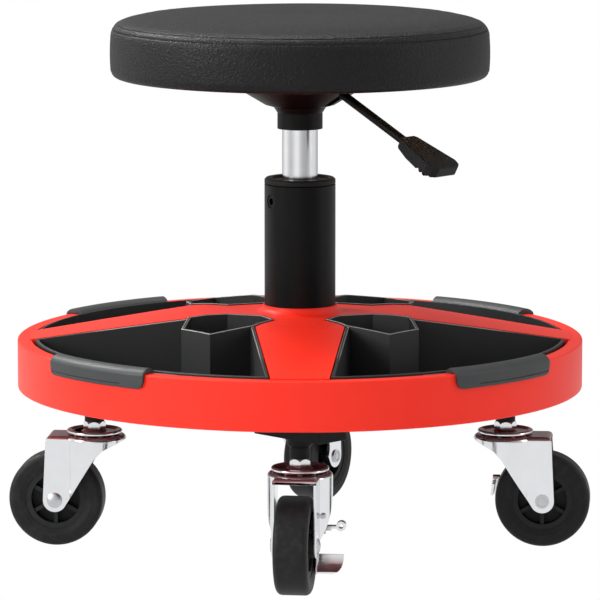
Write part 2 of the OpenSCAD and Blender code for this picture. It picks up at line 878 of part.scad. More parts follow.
module seat_mount() color(black) {
    slot_w = lever_d + 2 * slot_gap;
    ear_z = collar_z + cavity_floor - over;
    difference() {
        union() {
            difference() {
                translate([0, 0, collar_z]) rotate_extrude()
                    polygon(concat([[0, 0]], mount_outline, [[0, dish_h]]));
                translate([0, 0, collar_z]) rotate_extrude()
                    polygon([
                        [0, cavity_floor], [dish_d / 2 * dish_r_shares[1], cavity_floor],
                        [cavity_r + dish_wall, dish_h * dish_z_shares[0] + 2 * dish_wall],
                        [cavity_r + dish_wall, dish_h + over], [0, dish_h + over]
                    ]);
            }
            for (s = [-1, 1])
                rotate(lever_angle)
                    translate([fulcrum_s - ear_l / 2, s * (lever_d / 2 + ear_gap + ear_t / 2) - ear_t / 2, ear_z])
                        cube([ear_l, ear_t, lever_z + ear_h - ear_z]);
        }
        translate([0, 0, collar_z - over])
            cylinder(d = cyl_d + 2 * seat_fit, h = over);
        translate([0, 0, collar_z])
            cylinder(d1 = cyl_d + 2 * seat_fit, d2 = cone_top_d + 2 * seat_fit, h = cone_l);
        translate([0, 0, cyl_top_z - over]) cylinder(d = cone_top_d + 2 * seat_fit, h = dish_h / 2);
        rotate(lever_angle) translate([fulcrum_s + ear_l / 2, -slot_w / 2, collar_z + cavity_floor - dish_wall])
            cube([dish_d, slot_w, dish_h - slot_top - cavity_floor + dish_wall]);
        lever_frame() translate([fulcrum_s, 0, 0]) rotate([90, 0, 0])
            cylinder(d = lever_pin_d + 2 * run_fit, h = dish_d / 2, center = true);
        mount_screw_places() translate([0, 0, collar_z]) {
            cylinder(d = mount_screw_d + 2 * seat_fit, h = dish_h + over);
            cylinder(d = mount_screw_head_d + 2 * seat_fit, h = dish_h - mount_rim_h - mount_screw_head_h);
        }
    }
}

module seat_screws() color(steel)
    mount_screw_places() translate([0, 0, seat_z - mount_rim_h - mount_screw_head_h]) difference() {
        union() {
            translate([0, 0, -mount_screw_head_h]) cylinder(d = mount_screw_head_d, h = mount_screw_head_h);
            cylinder(d = mount_screw_d, h = mount_rim_h + mount_screw_head_h + mount_screw_bite);
        }
        translate([0, 0, -mount_screw_head_h - over]) hex(mount_screw_head_d / 2, mount_screw_head_h / 2 + over);
    }

module lever_pin() color(steel)
    lever_frame() translate([fulcrum_s, 0, 0]) rotate([90, 0, 0])
        cylinder(d = lever_pin_d, h = lever_d + 2 * ear_gap + 2 * ear_t, center = true);

// Sets a thing on the lever's sloping part, with +X running down it
module on_slope() {
    lever_frame() translate([lever_bend_s, 0, 0]) rotate([0, lever_slope, 0]) children();
}

module lever_rod() color(black) {
    slope_l = lever_reach / cos(lever_slope) + paddle_l * rod_in_paddle_share;
    difference() {
        union() {
            lever_frame() translate([-lever_tail, 0, 0]) rotate([0, 90, 0])
                cylinder(d = lever_d, h = lever_bend_s + lever_tail);
            on_slope() sphere(d = lever_bend_d);
            on_slope() rotate([0, 90, 0]) cylinder(d = lever_d, h = slope_l);
        }
        lever_frame() translate([fulcrum_s, 0, 0]) rotate([90, 0, 0])
            cylinder(d = lever_pin_d + 2 * run_fit, h = 2 * lever_d, center = true);
    }
}

// Outline of the paddle from above, the rod's end first
paddle_neck = paddle_neck_w / 2;
paddle_side = lerp(paddle_neck, paddle_w / 2, (paddle_l - paddle_corner_l) / paddle_l);
paddle_end = paddle_w / 2 - paddle_corner_w;
paddle_half = [
    [0, paddle_neck - paddle_chamfer], [paddle_chamfer, paddle_neck],
    [paddle_l - paddle_corner_l, paddle_side],
    [paddle_l - paddle_corner_l / 3, lerp(paddle_end, paddle_side, 2 / 3)],
    [paddle_l, paddle_end]
];

module lever_paddle() color(black) {
    top = paddle_t * paddle_top_share;
    belly = top - paddle_t * paddle_belly_share;
    on_slope() translate([lever_reach / cos(lever_slope), 0, 0]) difference() {
        intersection() {
            translate([0, 0, -paddle_t]) linear_extrude(2 * paddle_t)
                polygon(concat(
                    [for (p = paddle_half) [p.x, -p.y]],
                    [for (i = [len(paddle_half) - 1:-1:0]) paddle_half[i]]
                ));
            rotate([90, 0, 0]) linear_extrude(paddle_w + 2 * over, center = true)
                polygon([
                    [0, top], [0, belly], [paddle_l * paddle_belly_at_share, top - paddle_t],
                    [paddle_l - paddle_corner_l, top - paddle_t], [paddle_l, belly], [paddle_l, top]
                ]);
        }
        translate([-over, 0, 0]) rotate([0, 90, 0])
            cylinder(d = lever_d + 2 * seat_fit, h = paddle_l * rod_in_paddle_share + over + rest_gap);
        for (i = [0:paddle_ribs - 1])
            translate([paddle_l - paddle_corner_l / 2 - paddle_rib_pitch * i, 0, top - paddle_t])
                rotate([90, 0, 0]) cylinder(d = paddle_rib_d, h = paddle_w + 2 * over, center = true);
    }
}

// Seat

module seat_board() color(timber)
    difference() {
        translate([0, 0, seat_z]) cylinder(d = seat_board_d, h = seat_board_t, $fn = 128);
        mount_screw_places() translate([0, 0, seat_z - over])
            cylinder(d = mount_screw_d + 2 * seat_fit, h = mount_screw_bite + 2 * over);
    }

// Half outline of the cushion: lower edge, swelling side, sewn edge, roll and crown
module cushion_outline() {
    side_r = seat_d / 2 - seat_bulge;
    low_r = side_r - bottom_draw;
    pocket_r = seat_board_d / 2 + rest_gap;
    pocket_h = seat_board_t + rest_gap;
    roll = [side_r - edge_roll, seat_side_h];
    roll_z = seat_side_h + edge_roll;
    side_steps = 6;
    crown_steps = 14;
    crown_rest = seat_crown_h - edge_roll;
    low_angle = 20;
    high_angle = 82;
    seam_half_angle = asin(seam_h / 2 / edge_roll);
    translate([0, seat_z]) polygon(concat(
        [[0, pocket_h], [pocket_r, pocket_h], [pocket_r, 0]],
        arc([low_r - bottom_round, bottom_round], bottom_round, -90, -low_angle, 5),
        [for (i = [1:side_steps]) let (t = i / side_steps)
            [side_r + seat_bulge * 4 * t * (1 - t), lerp(bottom_round, seat_side_h, t)]],
        arc(roll, edge_roll, seam_angle / 4, seam_angle - seam_half_angle, 3),
        [roll + polar(edge_roll - seam_draw, seam_angle)],
        arc(roll, edge_roll, seam_angle + seam_half_angle, high_angle, 6),
        [for (i = [1:crown_steps]) let (t = i / crown_steps)
            [roll.x * (1 - t), roll_z + crown_rest * (1 - pow(1 - t, crown_power))]]
    ));
}

module seat_cushion() color(vinyl)
    rotate_extrude($fn = 128) cushion_outline();

// Casters: pieces that stay with the frame

module caster_stems() color(steel)
    at_stems() {
        low_z = fork_under_z - rest_gap - kingpin_t;
        translate([0, 0, low_z]) cylinder(d = kingpin_d, h = kingpin_t);
        translate([0, 0, low_z]) cylinder(d = stem_d, h = arm_top_z + top_nut_h + stem_over - low_z);
    }

module stem_sleeves() color(black)
    at_stems() difference() {
        union() {
            translate([0, 0, sleeve_z]) cylinder(d = sleeve_d, h = sleeve_h);
            translate([0, 0, sleeve_z + sleeve_neck_h])
                cylinder(d1 = sleeve_d, d2 = sleeve_wide_d, h = sleeve_chamfer);
            translate([0, 0, sleeve_z + sleeve_neck_h + sleeve_chamfer])
                cylinder(d = sleeve_wide_d, h = sleeve_h - sleeve_neck_h - sleeve_chamfer);
        }
        translate([0, 0, sleeve_z - over]) cylinder(d = stem_d + 2 * seat_fit, h = sleeve_h + 2 * over);
    }

module stem_nuts() color(chrome)
    at_stems() {
        difference() {
            translate([0, 0, nut_z]) intersection() {
                hex(nut_af, nut_h);
                cylinder(d1 = nut_af / cos(30) + nut_h, d2 = nut_af, h = nut_h);
            }
            translate([0, 0, nut_z - over]) cylinder(d = stem_d + 2 * seat_fit, h = nut_h + 2 * over);
        }
        translate([0, 0, arm_top_z]) difference() {
            hex(top_nut_af, top_nut_h);
            translate([0, 0, -over]) cylinder(d = stem_d + 2 * seat_fit, h = top_nut_h + 2 * over);
        }
    }

ball_z = fork_top_z + race_gap / 2;

module ball_groove() {
    translate([0, 0, ball_z]) rotate_extrude()
        translate([ball_ring_d / 2, 0]) circle(d = ball_d + 2 * ball_gap, $fn = 24);
}

module upper_races() color(chrome)
    at_stems() difference() {
        translate([0, 0, race_z]) rotate_extrude() polygon(concat(
            [[stem_d / 2 + seat_fit, 0]],
            arc([race_d / 2 - race_edge, race_edge], race_edge, -90, 90, 8),
            [[race_d / 2 - 2 * race_edge, 2 * race_edge], [race_d / 2 - 3 * race_edge, race_t / 2],
             [nut_af / 2 + race_edge, race_t / 2], [nut_af / 2 + race_edge / 2, race_t],
             [stem_d / 2 + seat_fit, race_t]]
        ));
        ball_groove();
    }

module race_balls() color(steel)
    at_stems() for (i = [0:ball_count - 1])
        translate(concat(polar(ball_ring_d / 2, i * 360 / ball_count), ball_z))
            sphere(d = ball_d, $fn = 24);

// Casters: forks

leg_in = wheel_w / 2 + leg_gap;
leg_out = leg_in + fork_t;
leg_back = trail + leg_end_r;
brake_pin_at = [trail, axle_z] + polar(brake_pin_r, brake_pin_angle);
// The pin reaches through the fork where its wall still follows the round top
brake_pin_out = sqrt(fork_d * fork_d / 4 - pow(brake_pin_at.x - brake_pin_d / 2, 2));

// Side view of the fork, X along the trail and Y up
module fork_side() {
    centre = [trail, axle_z];
    skirt = [for (i = [0:3]) [fork_d / 2 * skirt_x_shares[i], fork_top_z - skirt_drop * skirt_z_shares[i]]];
    towards = skirt[3] - centre;
    touch = centre + polar(leg_end_r, atan2(towards.y, towards.x) + acos(leg_end_r / norm(towards)));
    polygon(concat(
        [touch, centre, [leg_back, axle_z]],
        arc([leg_back - leg_flare - leg_corner_r, fork_top_z - leg_corner_r], leg_corner_r, 0, 90, 4),
        [[-fork_d, fork_top_z], [-fork_d, skirt[0].y]],
        skirt
    ));
    translate(centre) circle(r = leg_end_r);
}

// The fork's outside seen from above, with its upper edges rounded over
module fork_block() {
    edge_z = fork_top_z - fork_round;
    rotate_extrude() polygon(concat(
        [[0, 0], [fork_d / 2, 0]],
        arc([fork_d / 2 - fork_round, edge_z], fork_round, 0, 90, 5),
        [[0, fork_top_z]]
    ));
    along_x(0, fork_d) polygon(concat(
        [[-leg_out, 0], [leg_out, 0]],
        arc([leg_out - fork_round, edge_z], fork_round, 0, 90, 5),
        arc([fork_round - leg_out, edge_z], fork_round, 90, 180, 5)
    ));
}

module fork(braked) color(chrome) {
    difference() {
        intersection() {
            fork_block();
            rotate([90, 0, 0]) linear_extrude(fork_d + 2 * over, center = true) fork_side();
        }
        translate([0, 0, -over]) linear_extrude(fork_under_z + over) {
            circle(d = fork_d - 2 * fork_t);
            translate([0, -leg_in]) square([2 * fork_d, 2 * leg_in]);
        }
        translate([0, 0, fork_under_z - over]) cylinder(d = stem_d + 2 * run_fit, h = fork_t + 2 * over);
        ball_groove();
        translate([trail, 0, axle_z]) rotate([90, 0, 0])
            cylinder(d = axle_d + 2 * seat_fit, h = fork_d + 2 * over, center = true);
        if (braked)
            across(leg_in - over, brake_pin_out + over)
                translate(brake_pin_at) circle(d = brake_pin_d + 2 * seat_fit);
    }
}

module fork_front() at_caster(0) fork(true);
module fork_right() at_caster(1) fork(true);
module fork_rear() at_caster(2) fork(false);
module fork_left() at_caster(3) fork(false);

// Axle with a domed head on one side and a riveted end on the other
module axle() color(steel)
    translate([trail, 0, axle_z]) rotate([90, 0, 0]) {
        translate([0, 0, -leg_out]) cylinder(d = axle_d, h = 2 * leg_out);
        translate([0, 0, -leg_out]) mirror([0, 0, 1]) dome(axle_head_d, axle_head_h);
        translate([0, 0, leg_out]) difference() {
            cylinder(d = rivet_d, h = rivet_t);
            translate([0, 0, rivet_t / 2])
                tube(axle_d / 2, axle_d / 2 - rivet_groove_w, rivet_t);
        }
    }

module axle_front() at_caster(0) axle();
module axle_right() at_caster(1) axle();
module axle_rear() at_caster(2) axle();
module axle_left() at_caster(3) axle();

// Casters: wheels

module tyre() color(black) {
    half = wheel_w / 2;
    outer = wheel_d / 2;
    translate([trail, 0, axle_z]) rotate([90, 0, 0]) rotate_extrude($fn = 96) polygon(concat(
        [[tyre_in_r, -half + tyre_lip]],
        [[outer - 2 * tyre_round, -half]],
        arc([outer - tyre_round, -half + tyre_round], tyre_round, -90, 0, 5),
        arc([outer - tyre_round, half - tyre_round], tyre_round, 0, 90, 5),
        [[outer - 2 * tyre_round, half]],
        [[tyre_in_r, half - tyre_lip]]
    ));
}

module tyre_front() at_caster(0) tyre();
module tyre_right() at_caster(1) tyre();
module tyre_rear() at_caster(2) tyre();
module tyre_left() at_caster(3) tyre();

module wheel_hub() color(charcoal) {
    half = wheel_w / 2;
    rim_half = half - tyre_lip - hub_rim_step;
    boss_half = leg_in - rest_gap;
    rib_half = half - hub_rib_t;
    rim_r_out = tyre_in_r - seat_fit;
    translate([trail, 0, axle_z]) rotate([90, 0, 0]) difference() {
        union() {
            translate([0, 0, -rim_half]) tube(rim_r_out, hub_recess_r, 2 * rim_half);
            translate([0, 0, -hub_web_t / 2]) cylinder(r = hub_recess_r + over, h = hub_web_t);
            translate([0, 0, -boss_half]) cylinder(r = hub_boss_r, h = 2 * boss_half);
            for (i = [0:hub_ribs - 1]) rotate(30 + i * 360 / hub_ribs)
                translate([0, -hub_rib_t / 2, -rib_half]) cube([hub_recess_r + over, hub_rib_t, 2 * rib_half]);
        }
        translate([0, 0, -boss_half - over]) cylinder(d = axle_d + 2 * run_fit, h = 2 * (boss_half + over));
    }
}

module hub_front() at_caster(0) wheel_hub();
module hub_right() at_caster(1) wheel_hub();
module hub_rear() at_caster(2) wheel_hub();
module hub_left() at_caster(3) wheel_hub();

// Casters: brakes

// A strip round the wheel's centre between two angles, seen from the side
module brake_strip(r, from, to) {
    polygon(concat(
        arc([trail, axle_z], r, from, to, 8),
        arc([trail, axle_z], r + brake_t, to, from, 8)
    ));
}

brake_y = wheel_w / 2 + rest_gap;
brake_plate_t = leg_gap - 2 * rest_gap;

// Foot pedal: a side plate between tyre and leg, a lug over the tread, a curled tab and a tongue
module brake_pedal() color(chrome) {
    plate_out = brake_y + brake_plate_t;
    tab_x = trail - brake_tab_at;
    tab_z = axle_z + brake_tab_rise;
    root_out = brake_y + brake_root_w;
    root_in = brake_y + brake_root_step;
    low_z = axle_z + (brake_tongue_r + brake_t) * sin(brake_tongue_to);
    difference() {
        union() {
            across(brake_y, plate_out) {
                polygon([for (i = [0:len(brake_angles) - 1])
                    [trail, axle_z] + polar(wheel_d / 2 * brake_r_shares[i], brake_angles[i])]);
                translate(brake_pin_at) circle(d = brake_knuckle_d);
            }
            across(-brake_lug_reach, plate_out)
                brake_strip(wheel_d / 2 + brake_lug_gap, brake_lug_from, brake_lug_to);
            along_x(tab_x, tab_x + brake_t) polygon([
                [brake_y, tab_z - brake_root_drop], [root_in, tab_z - brake_root_drop],
                [root_in, tab_z - brake_root_drop / 2], [root_out, tab_z - brake_root_drop / 2],
                [root_out, tab_z + brake_t], [brake_y, tab_z + brake_t]
            ]);
            along_x(tab_x, tab_x + brake_tab_w) {
                translate([brake_y, tab_z])
                    square([brake_curl_y - brake_curl_d / 2 + brake_t / 2 - brake_y, brake_t]);
                translate([brake_curl_y, axle_z + brake_curl_rise]) difference() {
                    circle(d = brake_curl_d);
                    circle(d = brake_curl_bore);
                }
            }
            intersection() {
                across(brake_y, brake_tongue_y)
                    brake_strip(brake_tongue_r, brake_tongue_from, brake_tongue_to);
                along_x(0, trail) polygon(concat(
                    [[0, low_z - over]],
                    arc([brake_tongue_y - brake_tongue_round, low_z + brake_tongue_round],
                        brake_tongue_round, 270, 360, 6),
                    [[brake_tongue_y, axle_z], [0, axle_z]]
                ));
            }
        }
        across(brake_y - over, plate_out + over)
            translate(brake_pin_at) circle(d = brake_pin_d + 2 * run_fit);
    }
}

module brake_pin() color(steel)
    translate([brake_pin_at.x, 0, brake_pin_at.y]) rotate([90, 0, 0]) {
        translate([0, 0, -brake_pin_out]) cylinder(d = brake_pin_d, h = brake_pin_out - brake_y);
        translate([0, 0, -brake_pin_out]) mirror([0, 0, 1]) dome(brake_pin_d, brake_pin_dome);
    }

module brake_pedal_front() at_caster(0) brake_pedal();
module brake_pedal_right() at_caster(1) brake_pedal();
module brake_pin_front() at_caster(0) brake_pin();
module brake_pin_right() at_caster(1) brake_pin();

tray_rim();
tray_deck();
tray_skirts();
tray_ledges();
cross_frame();
column_foot();
column_tube();
column_cap();
guide_bush();
thrust_bearing();
bump_stop();
column_screw();
foot_bolts();
deck_screws();
tray_front_left();
tray_front_right();
tray_rear_left();
tray_rear_right();
grip_front_left();
grip_front_right();
grip_rear_left();
grip_rear_right();
caster_stems();
stem_sleeves();
stem_nuts();
upper_races();
race_balls();
piston_rod();
piston_head();
retaining_clip();
gas_cylinder();
cylinder_gland();
seat_mount();
seat_board();
seat_cushion();
seat_screws();
lever_pin();
lever_rod();
lever_paddle();
valve_pin();
fork_front();
fork_right();
fork_rear();
fork_left();
axle_front();
axle_right();
axle_rear();
axle_left();
tyre_front();
tyre_right();
tyre_rear();
tyre_left();
hub_front();
hub_right();
hub_rear();
hub_left();
brake_pedal_front();
brake_pedal_right();
brake_pin_front();
brake_pin_right();
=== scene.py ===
"""Looks of the rolling workshop seat: finishes, the sewn seat cover, the grips and the tyres."""

import json
import math

import bpy
from mathutils import Matrix, Vector, noise


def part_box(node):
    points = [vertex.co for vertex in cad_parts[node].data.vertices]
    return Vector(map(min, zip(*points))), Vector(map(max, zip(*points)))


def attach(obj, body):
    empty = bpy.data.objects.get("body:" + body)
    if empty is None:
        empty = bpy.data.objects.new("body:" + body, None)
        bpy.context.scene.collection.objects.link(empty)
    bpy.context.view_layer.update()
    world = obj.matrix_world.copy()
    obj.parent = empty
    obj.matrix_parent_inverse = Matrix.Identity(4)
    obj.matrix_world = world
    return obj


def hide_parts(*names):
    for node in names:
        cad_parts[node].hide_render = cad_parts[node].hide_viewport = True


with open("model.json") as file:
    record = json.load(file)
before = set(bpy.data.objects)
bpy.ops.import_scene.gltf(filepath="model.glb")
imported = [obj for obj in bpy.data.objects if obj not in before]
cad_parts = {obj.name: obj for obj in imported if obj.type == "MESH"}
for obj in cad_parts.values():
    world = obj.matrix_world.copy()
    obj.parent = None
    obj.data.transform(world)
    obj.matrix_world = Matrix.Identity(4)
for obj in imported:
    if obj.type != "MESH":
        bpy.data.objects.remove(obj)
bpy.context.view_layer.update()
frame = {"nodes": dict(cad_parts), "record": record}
nodes = frame["nodes"]
record = frame["record"]

# Lengths in metres, read from the solids where they have them
MM = 0.001
SEAT_LOW, SEAT_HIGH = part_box("seat_cushion")
RIM_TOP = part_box("tray_rim")[1].z
SEAT_R = SEAT_HIGH.x
RIM_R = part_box("tray_rim")[1].x

BODY_OF = {node: body for body, group in record["behaviour"]["bodies"].items() for node in group}
SLOT_OF = {part["node"]: part["material_slot"] for part in record["subparts"]}
CASTERS = ("front", "right", "rear", "left")


# Finishes


class Value:
    """A shader socket that takes part in Python sums."""

    def __init__(self, finish, socket):
        self.finish = finish
        self.socket = socket

    def math(self, operation, *terms):
        return self.finish.node("ShaderNodeMath", {"operation": operation}, dict(enumerate(terms)))

    def __add__(self, other):
        return self.math("ADD", self, other)

    def __sub__(self, other):
        return self.math("SUBTRACT", self, other)

    def __rsub__(self, other):
        return self.math("SUBTRACT", other, self)

    def __mul__(self, other):
        return self.math("MULTIPLY", self, other)

    def __truediv__(self, other):
        return self.math("DIVIDE", self, other)

    def __pow__(self, other):
        return self.math("POWER", self, other)

    __radd__ = __add__
    __rmul__ = __mul__

    def above(self, edge, width):
        """0 below the edge, rising to 1 over the width."""
        return self.finish.node(
            "ShaderNodeMapRange",
            {"interpolation_type": "SMOOTHSTEP"},
            {"Value": self, "From Min": edge, "From Max": edge + width},
        )

    def highest(self, other):
        return self.math("MAXIMUM", self, other)


class Finish:
    """A material while it is being mixed."""

    def __init__(self, name, tree=None):
        if tree is None:
            self.material = bpy.data.materials.new(name)
            self.material.use_nodes = True
            tree = self.material.node_tree
        self.tree = tree
        self.tree.nodes.clear()

    def node(self, kind, settings=None, sockets=None, output=0):
        """One node: its settings first, then the values or links of its sockets."""
        made = self.tree.nodes.new(kind)
        for key, value in (settings or {}).items():
            if key == "stops":
                ramp = made.color_ramp
                while len(ramp.elements) < len(value):
                    ramp.elements.new(1.0)
                for element, (place, shade) in zip(ramp.elements, value):
                    element.position = place
                    element.color = (*shade, 1.0) if isinstance(shade, tuple) else (shade, shade, shade, 1.0)
            else:
                setattr(made, key, value)
        for key, value in (sockets or {}).items():
            if isinstance(value, Value):
                self.tree.links.new(value.socket, made.inputs[key])
            elif isinstance(value, tuple) and made.inputs[key].type == "RGBA":
                made.inputs[key].default_value = (*value, 1.0)
            else:
                made.inputs[key].default_value = value
        return Value(self, made.outputs[output]) if made.outputs else made

    def place(self):
        return self.node("ShaderNodeTexCoord", output="Object")

    def axis(self, name):
        return self.node("ShaderNodeSeparateXYZ", sockets={0: self.place()}, output=name)

    def facing(self):
        """How far a face looks upwards: 1 on a floor, 0 on a wall, -1 underneath."""
        normal = self.node("ShaderNodeTexCoord", output="Normal")
        return self.node("ShaderNodeSeparateXYZ", sockets={0: normal}, output="Z")

    def noise(self, size, detail=3.0, roughness=0.5, stretch=(1, 1, 1)):
        """Cloudy noise whose blobs are about size metres across."""
        place = self.node("ShaderNodeMapping", sockets={"Vector": self.place(), "Scale": stretch})
        return self.node(
            "ShaderNodeTexNoise",
            sockets={"Vector": place, "Scale": 1 / size, "Detail": detail, "Roughness": roughness},
        )

    def cells(self, size, feature):
        return self.node(
            "ShaderNodeTexVoronoi",
            {"feature": feature},
            {"Vector": self.place(), "Scale": 1 / size},
            output="Distance",
        )

    def blend(self, share, first, second):
        return self.node("ShaderNodeMix", {"data_type": "RGBA"}, {0: share, 6: first, 7: second}, output=2)

    def bump(self, height, depth, strength=1.0, onto=None):
        sockets = {"Strength": strength, "Distance": depth, "Height": height}
        if onto is not None:
            sockets["Normal"] = onto
        return self.node("ShaderNodeBump", sockets=sockets)

    def surface(self, **sockets):
        """Closes the material with a Principled shader; socket names are written with underscores."""
        named = {key.replace("_", " "): value for key, value in sockets.items()}
        shader = self.node("ShaderNodeBsdfPrincipled", sockets=named)
        self.node("ShaderNodeOutputMaterial", sockets={"Surface": shader})
        return self.material


def shade(red, green, blue):
    """A colour as a screen shows it, 0 to 255, turned into the linear one that shaders use."""
    return tuple(
        ((c / 255 + 0.055) / 1.055) ** 2.4 if c > 10 else c / 255 / 12.92 for c in (red, green, blue)
    )


def red_moulding():
    f = Finish("red_moulding")
    clouds = f.noise(0.05, 4)
    peel = f.noise(0.0016, 2)
    return f.surface(
        Base_Color=f.blend(clouds, shade(228, 38, 22), shade(234, 46, 28)),
        Roughness=0.38 + clouds * 0.06,
        Normal=f.bump(peel, 0.00004),
        Specular_IOR_Level=0.22,
    )


def tray_moulding():
    f = Finish("tray_moulding")
    grain = f.noise(0.0011, 3, 0.6)
    clouds = f.noise(0.03, 4)
    plain = f.blend(clouds, shade(14, 15, 16), shade(22, 23, 24))
    # Painted highlight: the rounded lips of the tray walls, where they face part-way up above the rim, are
    # coloured light grey as though they caught the light from above.
    up_for_painted_light = f.facing()
    edge = up_for_painted_light.above(0.25, 0.3) * (1 - up_for_painted_light.above(0.94, 0.05)) * f.axis("Z").above(RIM_TOP + 6 * MM, 4 * MM)
    return f.surface(
        Base_Color=f.blend(edge, plain, shade(150, 150, 148)),
        Roughness=0.44 + grain * 0.14,
        Normal=f.bump(grain, 0.00008),
        Specular_IOR_Level=0.6,
    )


def grip_rubber():
    f = Finish("grip_rubber")
    grain = f.noise(0.0009, 3, 0.6)
    clouds = f.noise(0.02, 4)
    return f.surface(
        Base_Color=f.blend(clouds, shade(38, 40, 41), shade(48, 50, 51)),
        Roughness=0.42 + grain * 0.2,
        Normal=f.bump(grain, 0.00006),
        Specular_IOR_Level=0.5,
    )


def seat_vinyl():
    f = Finish("seat_vinyl")
    pebbles = f.cells(0.0016, "SMOOTH_F1")
    creases = f.cells(0.0034, "DISTANCE_TO_EDGE").above(0.0, 0.12)
    clouds = f.noise(0.04, 5, 0.6)
    skin = pebbles * 0.7 + creases * 0.3
    return f.surface(
        Base_Color=f.blend(clouds, shade(9, 9, 10), shade(15, 15, 16)),
        Roughness=0.46 + clouds * 0.08 - creases * 0.04,
        Normal=f.bump(skin, 0.0005),
        Specular_IOR_Level=0.25,
    )


def thread():
    f = Finish("thread")
    twist = f.noise(0.0005, 2, 0.5)
    return f.surface(
        Base_Color=f.blend(twist, shade(4, 4, 4), shade(12, 12, 12)),
        Roughness=0.7 + twist * 0.1,
        Normal=f.bump(twist, 0.0001),
    )


def black_coat(name, gloss, low, high):
    """Black powder coat with a light orange peel."""
    f = Finish(name)
    peel = f.noise(0.0013, 2)
    clouds = f.noise(0.025, 4)
    return f.surface(
        Base_Color=f.blend(clouds, low, high),
        Roughness=gloss + clouds * 0.08,
        Normal=f.bump(peel, 0.00005),
        Specular_IOR_Level=0.15,
    )


def black_moulding():
    f = Finish("black_moulding")
    grain = f.noise(0.0008, 3, 0.6)
    clouds = f.noise(0.02, 4)
    return f.surface(
        Base_Color=f.blend(clouds, shade(18, 18, 19), shade(26, 26, 27)),
        Roughness=0.42 + grain * 0.16,
        Normal=f.bump(grain, 0.00006),
        Specular_IOR_Level=0.15,
    )


def bright_plate(name="bright_plate", roughness=0.1):
    """Plated sheet steel: faint polishing lines and smudges, with a painted dark red reflection of the red
    deck on the faces that look upwards, which are also made partly non-metallic.
    """
    f = Finish(name)
    smudge = f.noise(0.014, 5, 0.6)
    lines = f.noise(0.004, 3, 0.6, (1, 1, 14))
    plain = f.blend(smudge, shade(222, 223, 226), shade(236, 237, 239))
    # Painted reflection: faces that look upwards are tinted dark red and given some diffuse colour, standing
    # in for the red deck that the chrome reflects.
    up_for_painted_light = f.facing().above(0.35, 0.5)
    return f.surface(
        Base_Color=f.blend(up_for_painted_light * 0.92, plain, shade(120, 14, 20)),
        Metallic=1 - up_for_painted_light * 0.55,
        Roughness=roughness + smudge * 0.08 + lines * 0.04,
        Normal=f.bump(lines, 0.00001, 0.6),
    )


def turned_chrome():
    """Chrome of the gas lift, ground round and round."""
    f = Finish("turned_chrome")
    lines = f.noise(0.003, 3, 0.6, (0.2, 0.2, 16))
    smudge = f.noise(0.01, 4)
    return f.surface(
        Base_Color=f.blend(smudge, shade(226, 227, 230), shade(240, 240, 242)),
        Metallic=1.0,
        Roughness=0.12 + smudge * 0.06 + lines * 0.06,
        Normal=f.bump(lines, 0.000008, 0.5),
    )


def zinc():
    f = Finish("zinc")
    spangle = f.noise(0.003, 4, 0.6)
    return f.surface(
        Base_Color=f.blend(spangle, shade(176, 178, 182), shade(214, 214, 216)),
        Metallic=1.0,
        Roughness=0.24 + spangle * 0.16,
        Normal=f.bump(spangle, 0.00003),
    )


def tyre_tread():
    f = Finish("tyre_tread")
    pores = f.noise(0.0007, 3, 0.6)
    scuffs = f.noise(0.006, 5, 0.65)
    return f.surface(
        Base_Color=f.blend(scuffs.above(0.42, 0.3), shade(24, 24, 25), shade(36, 36, 37)),
        Roughness=0.44 + scuffs * 0.16,
        Normal=f.bump(pores, 0.00006),
        Specular_IOR_Level=0.2,
    )


def hub_moulding():
    f = Finish("hub_moulding")
    grain = f.noise(0.0009, 3, 0.6)
    flow = f.noise(0.012, 4, 0.5, (1, 1, 2))
    return f.surface(
        Base_Color=f.blend(flow, shade(26, 27, 28), shade(36, 37, 38)),
        Roughness=0.44 + grain * 0.14,
        Normal=f.bump(grain, 0.00005),
        Specular_IOR_Level=0.2,
    )


def plywood():
    f = Finish("plywood")
    grain = f.noise(0.006, 6, 0.65, (9, 1, 9))
    pores = f.noise(0.0016, 3, 0.6, (6, 1, 6))
    return f.surface(
        Base_Color=f.blend(grain.above(0.3, 0.4), shade(186, 150, 104), shade(214, 184, 140)),
        Roughness=0.62 + pores * 0.14,
        Normal=f.bump(pores, 0.00008),
    )


def stop_rubber():
    f = Finish("stop_rubber")
    pores = f.noise(0.001, 3, 0.6)
    return f.surface(
        Base_Color=f.blend(pores, shade(24, 24, 24), shade(32, 32, 32)),
        Roughness=0.6 + pores * 0.12,
        Normal=f.bump(pores, 0.00006),
    )


FINISHES = {
    "red_plastic": red_moulding(),
    "tray_plastic": tray_moulding(),
    "grip_rubber": grip_rubber(),
    "black_steel": black_coat("black_coat", 0.4, shade(4, 4, 4), shade(8, 8, 8)),
    "column_paint": black_coat("column_coat", 0.3, shade(4, 4, 4), shade(8, 8, 8)),
    "black_plastic": black_moulding(),
    "rubber": stop_rubber(),
    "cylinder_chrome": turned_chrome(),
    "seat_vinyl": seat_vinyl(),
    "board": plywood(),
    "chrome": bright_plate(),
    "steel": zinc(),
    "tyre": tyre_tread(),
    "hub_plastic": hub_moulding(),
}

for name, obj in nodes.items():
    finish = FINISHES[SLOT_OF[name]]
    if obj.material_slots:
        for slot in obj.material_slots:
            slot.material = finish
    else:
        obj.data.materials.append(finish)


# Modelling helpers


def pick_nothing():
    for obj in list(bpy.context.selected_objects):
        obj.select_set(False)


def pick(obj):
    pick_nothing()
    bpy.context.view_layer.objects.active = obj
    obj.select_set(True)


def edit(obj):
    pick(obj)
    bpy.ops.object.mode_set(mode="EDIT")
    bpy.ops.mesh.select_mode(type="VERT")


def leave():
    bpy.ops.object.mode_set(mode="OBJECT")


